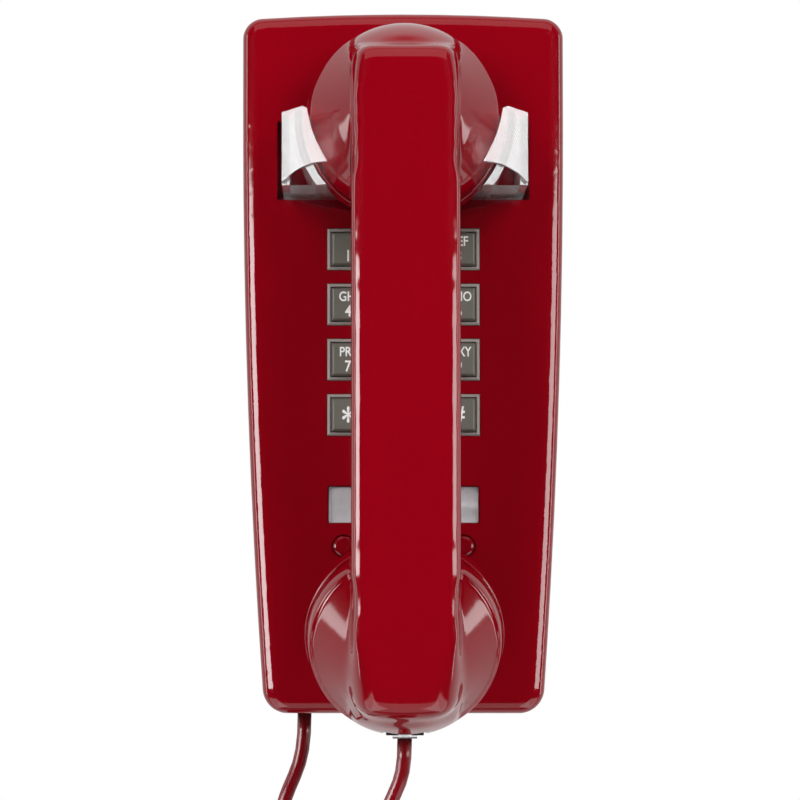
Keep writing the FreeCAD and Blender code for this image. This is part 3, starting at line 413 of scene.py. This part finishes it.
# The handset cord is one tube: two plain leads and the curly stretch between them. The routes are
# in millimetres, and the other values in metres.
cordSpec = {
    "diameter": 0.0046, "coilRadius": 0.0047, "pitch": 0.0049, "settle": 0.016,
    "step": 0.0021, "sides": 12, "resolution": 2, "axisResolution": 8, "chartScale": 10,
    "baseLead": [(-31.5, -30.0, -112.25), (-31.5, -30.0, -120.0), (-33.0, -30.2, -129.0),
                 (-36.6, -30.8, -137.0)],
    "handsetLead": [(0.0, -77.2, -116.65), (0.0, -77.2, -123.5), (-1.4, -76.6, -130.5),
                    (-4.8, -75.3, -137.5)],
    "coilAxis": [(-33.8, -31.0, -142.5), (-34.8, -29.6, -168.0), (-36.1, -28.0, -198.0),
                 (-36.3, -28.2, -229.0), (-35.7, -28.4, -257.5), (-28.9, -37.6, -276.0),
                 (-17.9, -52.4, -282.0), (-6.9, -67.2, -275.0), (0.1, -76.7, -257.0),
                 (1.3, -77.6, -230.0), (0.7, -77.4, -199.0), (-0.9, -75.8, -169.0),
                 (-1.9, -74.5, -142.5)],
}


# Points of a smooth line whose control points are given.
def routeLine(points, resolution):
    data = bpy.data.curves.new("route", "CURVE")
    data.dimensions = "3D"
    spline = data.splines.new("NURBS")
    spline.points.add(len(points) - 1)
    for corner, point in zip(spline.points, points):
        corner.co = (*point, 1)
    spline.order_u = 3
    spline.use_endpoint_u = True
    spline.resolution_u = resolution
    holder = newObject("route", data)
    bpy.context.view_layer.update()
    mesh = bpy.data.meshes.new_from_object(holder)
    line = [vertex.co.copy() for vertex in mesh.vertices]
    bpy.data.objects.remove(holder)
    return line


# Position, direction and a carried side vector at any distance along a line.
class Guide:
    def __init__(self, line, side):
        self.line = line
        self.marks = [0.0]
        for before, after in zip(line, line[1:]):
            self.marks.append(self.marks[-1] + (after - before).length)
        self.length = self.marks[-1]
        self.ways = [(after - before).normalized() for before, after in zip(line, line[1:])]
        self.ways.append(self.ways[-1])
        self.sides = []
        for way in self.ways:
            side = (side - way * side.dot(way)).normalized()
            self.sides.append(side)

    def at(self, distance):
        index = 0
        while index < len(self.marks) - 2 and self.marks[index + 1] < distance:
            index += 1
        span = self.marks[index + 1] - self.marks[index]
        share = (distance - self.marks[index]) / span
        place = self.line[index].lerp(self.line[index + 1], share)
        way = self.ways[index].lerp(self.ways[index + 1], share).normalized()
        side = self.sides[index].lerp(self.sides[index + 1], share)
        side = (side - way * side.dot(way)).normalized()
        return place, side, way.cross(side)


# The curly stretch winds up gently from the lead, runs at its even pitch and lets go again.
def curlPoints(guide, endSide):
    pitch = cordSpec["pitch"]
    settle = cordSpec["settle"]
    radius = cordSpec["coilRadius"]
    full = math.tau / pitch

    def rate(distance):
        near = min(distance, guide.length - distance) / settle
        near = max(0.0, min(1.0, near))
        return full * near * near * (3 - 2 * near)

    def march(scale):
        steps = []
        distance = 0.0
        angle = 0.0
        while distance < guide.length:
            steps.append((distance, angle))
            turning = rate(distance) * scale
            advance = cordSpec["step"] / math.sqrt(1 + (radius * turning) ** 2)
            angle += rate(distance + advance / 2) * scale * advance
            distance += advance
        return steps, angle

    steps, total = march(1.0)
    place, side, across = guide.at(guide.length)
    last = math.atan2(endSide.dot(across), endSide.dot(side))
    wanted = math.tau * round((total - last) / math.tau) + last
    steps, total = march(wanted / total)
    points = []
    for distance, angle in steps:
        place, side, across = guide.at(distance)
        points.append(place + radius * (side * math.cos(angle) + across * math.sin(angle)))
    return points, wanted / math.tau


def tubeMesh(name, line, radius, sides):
    guide = Guide(line, Vector((0.3, 0.9, 0.1)))
    points = []
    for index, place in enumerate(line):
        way = (line[min(index + 1, len(line) - 1)] - line[max(index - 1, 0)]).normalized()
        side = guide.sides[index]
        side = (side - way * side.dot(way)).normalized()
        across = way.cross(side)
        for corner in range(sides):
            angle = math.tau * corner / sides
            points.append(place + radius * (side * math.cos(angle) + across * math.sin(angle)))
    faces = []
    for ring in range(len(line) - 1):
        for corner in range(sides):
            following = (corner + 1) % sides
            low = ring * sides
            high = low + sides
            faces.append((low + corner, low + following, high + following, high + corner))
    faces.append(tuple(reversed(range(sides))))
    faces.append(tuple(range(len(points) - sides, len(points))))
    mesh = meshFrom(name, points, faces)
    chart = mesh.uv_layers.new(name="jacket")
    for face in mesh.polygons:
        face.use_smooth = len(face.vertices) == 4
        for loop in face.loop_indices:
            ring, corner = divmod(mesh.loops[loop].vertex_index, sides)
            chart.data[loop].uv = (corner / sides, guide.marks[ring] * cordSpec["chartScale"])
    return mesh


def makeCord():
    axis = routeLine([Vector(point) * mm for point in cordSpec["coilAxis"]], cordSpec["axisResolution"])
    guide = Guide(axis, Vector((-1, 0, 0)))
    curl, turns = curlPoints(guide, Vector((-1, 0, 0)))
    lead = [Vector(point) * mm for point in cordSpec["baseLead"]]
    tail = [Vector(point) * mm for point in reversed(cordSpec["handsetLead"])]
    line = routeLine(lead + curl + tail, cordSpec["resolution"])
    radius = cordSpec["diameter"] / 2
    cord = newObject("handset_cord", tubeMesh("handset_cord", line, radius, cordSpec["sides"]))
    cord.data.materials.append(finishes["cord_red"])
    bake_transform(cord)
    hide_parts("base_cord_lead", "curly_cord", "handset_cord_lead")


# Copies of the CAD nodes are merged, softened along their edges and given their finish.
copySpec = {
    "mergeDistance": 0.000002, "flatAngle": 0.1, "sharpAngle": 33, "cornerInset": 0.04,
    "searchReach": 0.00008, "sameFacing": 0.985, "leastFacing": 0.3,
}


def mergedMesh(node):
    mesh = frame["nodes"][node].data.copy()
    for label in ("custom_normal", "sharp_edge", "sharp_face"):
        if label in mesh.attributes:
            mesh.attributes.remove(mesh.attributes[label])
    build = bmesh.new()
    build.from_mesh(mesh)
    bmesh.ops.remove_doubles(build, verts=build.verts, dist=copySpec["mergeDistance"])
    for face in build.faces:
        face.smooth = True
    build.to_mesh(mesh)
    build.free()
    return mesh


# The shape stands for its CAD node: same body, slot and finish.
def standIn(piece, node):
    piece.data.materials.clear()
    piece.data.materials.append(finishes[slots[node]])
    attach(piece, frame["nodes"][node]["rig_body"])
    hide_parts(node)


# Gives each corner the normal of the CAD face it lies on, so that highlights run true. A face made
# by the bevel takes its neighbours' normals where it meets them.
def takeNormals(mesh, source):
    source.calc_loop_triangles()
    corners = [vertex.co for vertex in source.vertices]
    triangles = [tuple(triangle.vertices) for triangle in source.loop_triangles]
    tree = BVHTree.FromPolygons(corners, triangles)
    lent = [tuple(source.corner_normals[loop].vector.copy() for loop in triangle.loops)
            for triangle in source.loop_triangles]
    faceNormals = [triangle.normal.copy() for triangle in source.loop_triangles]
    normals = [None] * len(mesh.loops)
    known = {}
    for face in mesh.polygons:
        for loop in face.loop_indices:
            vertex = mesh.loops[loop].vertex_index
            place = mesh.vertices[vertex].co
            probe = place.lerp(face.center, copySpec["cornerInset"])
            best = None
            for hit, normal, index, distance in tree.find_nearest_range(probe, copySpec["searchReach"]):
                facing = faceNormals[index].dot(face.normal) > copySpec["sameFacing"]
                if facing and (best is None or distance < best[0]):
                    best = (distance, index, hit)
            if best:
                shares = interpolate([corners[corner] for corner in triangles[best[1]]], best[2])
                found = Vector()
                for share, normal in zip(shares, lent[best[1]]):
                    found += max(share, 0.0) * normal
                if found.length > 0.5:
                    normals[loop] = found.normalized()
                    known.setdefault(vertex, []).append(normals[loop])
    meeting = {}
    for face in mesh.polygons:
        for vertex in face.vertices:
            meeting.setdefault(vertex, []).append(face.normal * face.area)
    for face in mesh.polygons:
        for loop in face.loop_indices:
            if normals[loop] is None:
                vertex = mesh.loops[loop].vertex_index
                choices = known.get(vertex) or [sum(meeting[vertex], Vector()).normalized()]
                nearest = max(choices, key=lambda choice: choice.dot(face.normal))
                near = nearest.dot(face.normal) > copySpec["leastFacing"]
                normals[loop] = nearest if near else face.normal.copy()
    mesh.normals_split_custom_set([tuple(normal) for normal in normals])


# Shares of a triangle's three corners at a place in it.
def interpolate(corners, place):
    first, second, third = corners
    across, along, out = second - first, third - first, place - first
    square = along.dot(along) * across.dot(across) - across.dot(along) ** 2
    if square <= 0:
        return (1.0, 0.0, 0.0)
    atSecond = (along.dot(along) * out.dot(across) - across.dot(along) * out.dot(along)) / square
    atThird = (across.dot(across) * out.dot(along) - across.dot(along) * out.dot(across)) / square
    return (1 - atSecond - atThird, atSecond, atThird)


def finishedCopy(node, bevel=0.0, segments=2, change=None):
    mesh = mergedMesh(node)
    sharp = math.radians(copySpec["sharpAngle"])
    if bevel:
        build = bmesh.new()
        build.from_mesh(mesh)
        bmesh.ops.dissolve_limit(build, angle_limit=math.radians(copySpec["flatAngle"]),
                                 verts=build.verts, edges=build.edges)
        build.to_mesh(mesh)
        build.free()
    mesh.set_sharp_from_angle(angle=sharp)
    piece = newObject(node + "_piece", mesh)
    if bevel:
        soften = piece.modifiers.new("soften", "BEVEL")
        soften.width = bevel
        soften.segments = segments
        soften.limit_method = "ANGLE"
        soften.angle_limit = sharp
        plainMesh(piece)
    if change:
        change(piece.data)
        weigh = piece.modifiers.new("weigh", "WEIGHTED_NORMAL")
        weigh.keep_sharp = True
        plainMesh(piece)
    else:
        takeNormals(piece.data, frame["nodes"][node].data)
    standIn(piece, node)
    return piece


def smoothStep(value):
    value = max(0.0, min(1.0, value))
    return value * value * (3 - 2 * value)


# The handset's handle and cups flow into each other, with full rounded ends. Each cup is given by
# its seat's y and z, its axis as a turn about X in degrees, and its dome's height over the seat.
handleSpec = {
    "voxel": 0.0009, "blendPasses": 24, "smoothFactor": 0.5, "leastWeight": 0.01,
    "sideFrom": 0.0164, "domeNeck": 0.015, "domeSlope": 1.43, "domeWall": 0.0012,
    "domeReach": 0.03, "domeFrom": 0.5,
    "cups": [(-0.055, 0.0729, 76, 0.039), (-0.067, -0.0832, 106, 0.036)],
}
handleEnds = {  # y and z of each end edge, how far round it and how much it is smoothed, its growth
    "top": {"place": (-0.0985, 0.0950), "reach": 0.015, "passes": 70, "growth": 0.0006},
    "bottom": {"place": (-0.1045, -0.1045), "reach": 0.021, "passes": 260, "growth": 0.0028},
}


def softenGroup(piece, label, weightOf, passes):
    group = piece.vertex_groups.new(name=label)
    for vertex in piece.data.vertices:
        weight = weightOf(vertex.co)
        if weight > handleSpec["leastWeight"]:
            group.add([vertex.index], weight, "REPLACE")
    smooth = piece.modifiers.new(label, "SMOOTH")
    smooth.factor = handleSpec["smoothFactor"]
    smooth.iterations = passes
    smooth.vertex_group = label
    plainMesh(piece)
    piece.vertex_groups.clear()


def endWeight(point, end):
    y, z = end["place"]
    return 1 - smoothStep(math.hypot(point.y - y, point.z - z) / end["reach"])


# Beside the handle each dome falls away steeply from a neck that the handle covers.
def slopeDomes(mesh):
    spec = handleSpec
    for y, z, turn, height in spec["cups"]:
        rise = math.radians(turn)
        axis = Vector((0, -math.sin(rise), math.cos(rise)))
        seat = Vector((0, y, z))
        for vertex in mesh.vertices:
            if abs(vertex.co.x) > spec["sideFrom"]:
                out = vertex.co - seat
                up = out.dot(axis)
                radius = (out - up * axis).length
                inside = spec["domeWall"] if vertex.normal.dot(axis) < 0 else 0.0
                fall = spec["domeSlope"] * (radius - spec["domeNeck"])
                excess = up - (height - fall - inside)
                onDome = radius < spec["domeReach"] and up > spec["domeFrom"] * height
                if excess > 0 and onDome:
                    vertex.co -= excess * axis


# Smoothing draws the handle's ends in, so they are first moved out by as much.
def growEnds(mesh):
    for vertex in mesh.vertices:
        for end in handleEnds.values():
            weight = endWeight(vertex.co, end)
            vertex.co.z += math.copysign(end["growth"] * weight, vertex.co.z)


def makeHandle():
    piece = newObject("handset_handle_piece", mergedMesh("handset_handle"))
    remesh = piece.modifiers.new("remesh", "REMESH")
    remesh.mode = "VOXEL"
    remesh.voxel_size = handleSpec["voxel"]
    remesh.use_smooth_shade = True
    plainMesh(piece)
    slopeDomes(piece.data)
    growEnds(piece.data)
    softenGroup(piece, "blend", lambda point: 1.0, handleSpec["blendPasses"])
    for name, end in handleEnds.items():
        softenGroup(piece, name, lambda point, end=end: endWeight(point, end), end["passes"])
    standIn(piece, "handset_handle")
    print("stage: handle has", len(piece.data.polygons), "faces")


# The cradle's lips are flared: each leans back towards its outer edge.
lipFlare = {"from": 0.0815, "slope": 0.29, "middle": 0.029}
cradleSpec = {"bevel": 0.0005, "segments": 3}


def flareLips(mesh):
    for vertex in mesh.vertices:
        if vertex.co.y < -lipFlare["from"]:
            vertex.co.y += (abs(vertex.co.x) - lipFlare["middle"]) * lipFlare["slope"]


slots = {entry["node"]: entry["material_slot"] for entry in frame["record"]["subparts"]}
keyNames = ["1", "2", "3", "4", "5", "6", "7", "8", "9", "star", "0", "pound"]
softened = {  # edge radius of each copied piece, 0 where its CAD edges stay
    "housing": 0.0, "base_plate": 0.0002, "keypad_frame": 0.00018, "rest_bumpers": 0.0,
    "card_window": 0.0002, "number_card": 0.0, "housing_screws": 0.00015,
    "receiver_cap": 0.0002, "transmitter_cap": 0.0002,
    "base_jack": 0.00025, "handset_jack": 0.00025, "base_cord_plug": 0.0002,
    "handset_cord_plug": 0.0002, "line_jack": 0.0003, "volume_wheel": 0.0002,
}
keyBevel = 0.0002
for keyName in keyNames:
    softened["key_" + keyName] = keyBevel
copies = {node: finishedCopy(node, bevel) for node, bevel in softened.items()}
copies["card_window"].data.materials[0] = finishes["window"]
makeHandle()
cradle = finishedCopy("hook_cradle", cradleSpec["bevel"], cradleSpec["segments"], flareLips)
cradleOnly.objects.link(cradle)
for node, source in frame["nodes"].items():  # inner pieces keep their CAD shape
    source.data.materials.clear()
    source.data.materials.append(finishes[slots[node]])
print("stage: shells and inner pieces finished")


# Geometry Nodes make what repeats in a row: the plugs' contacts and the ringer's winding.
rowInputs = {"Count": "Int", "Start": "Vector", "Step": "Vector", "Size": "Vector",
             "Finish": "Material"}
ringCorners = {"loop": 40, "wire": 6}


# One tree each for blades and rings: points in a row, the shape on each point, realised.
def rowTree(name, ring):
    tree = bpy.data.node_groups.new(name, "GeometryNodeTree")
    tree.interface.new_socket("Row", in_out="OUTPUT", socket_type="NodeSocketGeometry")
    sockets = {}
    for label, kind in rowInputs.items():
        sockets[label] = tree.interface.new_socket(label, in_out="INPUT",
                                                   socket_type="NodeSocket" + kind)

    def add(kind, **links):
        made = tree.nodes.new(kind)
        for label, value in links.items():
            socket = made.inputs[label.replace("_", " ")]
            if isinstance(value, bpy.types.NodeSocket):
                tree.links.new(value, socket)
            else:
                socket.default_value = value
        return made

    given = tree.nodes.new("NodeGroupInput").outputs
    points = add("GeometryNodeMeshLine", Count=given["Count"], Start_Location=given["Start"],
                 Offset=given["Step"])
    if ring:
        size = add("ShaderNodeSeparateXYZ", Vector=given["Size"]).outputs
        loop = add("GeometryNodeCurvePrimitiveCircle", Radius=size["X"],
                   Resolution=ringCorners["loop"])
        wire = add("GeometryNodeCurvePrimitiveCircle", Radius=size["Y"],
                   Resolution=ringCorners["wire"])
        shape = add("GeometryNodeCurveToMesh", Curve=loop.outputs["Curve"],
                    Profile_Curve=wire.outputs["Curve"])
        turn = (0.0, math.pi / 2, 0.0)
    else:
        shape = add("GeometryNodeMeshCube", Size=given["Size"])
        turn = (0.0, 0.0, 0.0)
    placed = add("GeometryNodeInstanceOnPoints", Points=points.outputs["Mesh"],
                 Instance=shape.outputs["Mesh"], Rotation=turn)
    real = add("GeometryNodeRealizeInstances", Geometry=placed.outputs["Instances"])
    dressed = add("GeometryNodeSetMaterial", Geometry=real.outputs["Geometry"],
                  Material=given["Finish"])
    add("NodeGroupOutput", Row=dressed.outputs["Geometry"])
    return tree, {label: socket.identifier for label, socket in sockets.items()}


def rowPiece(name, treeAndSockets, body, slot, **values):
    tree, identifiers = treeAndSockets
    piece = newObject(name, bpy.data.meshes.new(name))
    row = piece.modifiers.new("row", "NODES")
    row.node_group = tree
    for label, value in values.items():
        row[identifiers[label]] = value
    row[identifiers["Finish"]] = finishes[slot]
    plainMesh(piece)
    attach(piece, body)
    return piece


bladeTree = rowTree("bladeRow", False)
ringTree = rowTree("ringRow", True)
contactSpec = {
    "count": 4, "pitch": 0.00127, "width": 0.0005, "deep": 0.0008, "long": 0.0044,
    "endInset": 0.0004, "faceInset": 0.0001,
}


def plugContacts(plug, body):
    low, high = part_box(plug)
    spec = contactSpec
    first = (low.x + high.x - (spec["count"] - 1) * spec["pitch"]) / 2
    start = (first, high.y - spec["deep"] / 2 - spec["faceInset"],
             high.z - spec["endInset"] - spec["long"] / 2)
    return rowPiece(plug + "_contacts", bladeTree, body, "gong_brass", Count=spec["count"],
                    Start=start, Step=(spec["pitch"], 0.0, 0.0),
                    Size=(spec["width"], spec["deep"], spec["long"]))


coilSpec = {"wire": 0.00032, "pitch": 0.0006, "turns": 49, "sunk": 0.0001, "flangeRise": 0.001}


def coilWinding():
    low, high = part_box("ringer_coil")
    spec = coilSpec
    radius = (high.z - low.z) / 2 - spec["flangeRise"] + spec["wire"] - spec["sunk"]
    first = (low.x + high.x - (spec["turns"] - 1) * spec["pitch"]) / 2
    start = (first, (low.y + high.y) / 2, (low.z + high.z) / 2)
    rowPiece("coil_winding", ringTree, "base", "coil_copper", Count=spec["turns"], Start=start,
             Step=(spec["pitch"], 0.0, 0.0), Size=(radius, spec["wire"], 0.0))


onCord = [copies["base_cord_plug"], copies["handset_cord_plug"],
          plugContacts("base_cord_plug", "base"), plugContacts("handset_cord_plug", "handset")]
coilWinding()
makeCord()


# Key legends are generic letters and digits, raised like thick ink on each key's face.
legendSpec = {
    "letterHeight": 0.0031, "digitHeight": 0.0036, "symbolHeight": 0.0052,
    "letterRise": 0.0024, "digitRise": -0.0022, "ink": 0.00006, "weight": 0.015, "narrow": 0.82,
    "extrude": 0.02, "crownDepth": 0.00002, "weld": 0.000001,
    "symbolShare": 0.6, "digitShare": 0.5, "letterShare": 0.86,  # most of a key's width they take
}
legends = {
    "1": ("", "1"), "2": ("ABC", "2"), "3": ("DEF", "3"), "4": ("GHI", "4"), "5": ("JKL", "5"),
    "6": ("MNO", "6"), "7": ("PRS", "7"), "8": ("TUV", "8"), "9": ("WXY", "9"),
    "star": ("", "*"), "0": ("OPER", "0"), "pound": ("", "#"),
}


def textPart(text, height, rise, widest):
    data = bpy.data.curves.new("legend", "FONT")
    data.body = text
    data.align_x = "CENTER"
    data.extrude = legendSpec["extrude"]
    data.offset = legendSpec["weight"]
    data.resolution_u = 4
    holder = newObject("legend", data)
    bpy.context.view_layer.update()
    mesh = bpy.data.meshes.new_from_object(holder)
    bpy.data.objects.remove(holder)
    xs = [vertex.co.x for vertex in mesh.vertices]
    ys = [vertex.co.y for vertex in mesh.vertices]
    scale = height / (max(ys) - min(ys))
    squeeze = min(legendSpec["narrow"] * scale, widest / (max(xs) - min(xs)))
    middle = Vector(((max(xs) + min(xs)) / 2, (max(ys) + min(ys)) / 2, 0))
    mesh.transform(Matrix.Translation(-middle))
    flatten = legendSpec["ink"] / (2 * legendSpec["extrude"])
    mesh.transform(Matrix.Diagonal((squeeze, scale, flatten, 1)))
    mesh.transform(Matrix.Translation((0, rise, 0)))
    return mesh


pressJoint = [joint for joint in frame["joints"] if joint["name"] == "key_5_press"][0]
inward = Vector(pressJoint["axis"]).normalized()
upFace = Vector((1, 0, 0)).cross(inward)


def makeLegend(keyName):
    letters, digit = legends[keyName]
    spec = legendSpec
    vertices = [vertex.co for vertex in frame["nodes"]["key_" + keyName].data.vertices]
    nearest = min(point.dot(inward) for point in vertices)
    crown = [point for point in vertices if point.dot(inward) < nearest + spec["crownDepth"]]
    centre = sum(crown, Vector()) / len(crown)
    width = 2 * (max(point.x for point in crown) - centre.x)
    build = bmesh.new()
    if digit in "*#":
        build.from_mesh(textPart(digit, spec["symbolHeight"], 0, width * spec["symbolShare"]))
    else:
        build.from_mesh(textPart(digit, spec["digitHeight"], spec["digitRise"],
                                 width * spec["digitShare"]))
    if letters:
        build.from_mesh(textPart(letters, spec["letterHeight"], spec["letterRise"],
                                 width * spec["letterShare"]))
    bmesh.ops.remove_doubles(build, verts=build.verts, dist=spec["weld"])
    mesh = bpy.data.meshes.new("legend_" + keyName)
    build.to_mesh(mesh)
    build.free()
    facing = Matrix((Vector((1, 0, 0)), upFace, -inward)).transposed().to_4x4()
    mesh.transform(Matrix.Translation(centre) @ facing)
    piece = newObject("legend_" + keyName, mesh)
    mesh.materials.append(finishes["legend"])
    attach(piece, "key_" + keyName)


for keyName in keyNames:
    makeLegend(keyName)
print("stage: legends made")
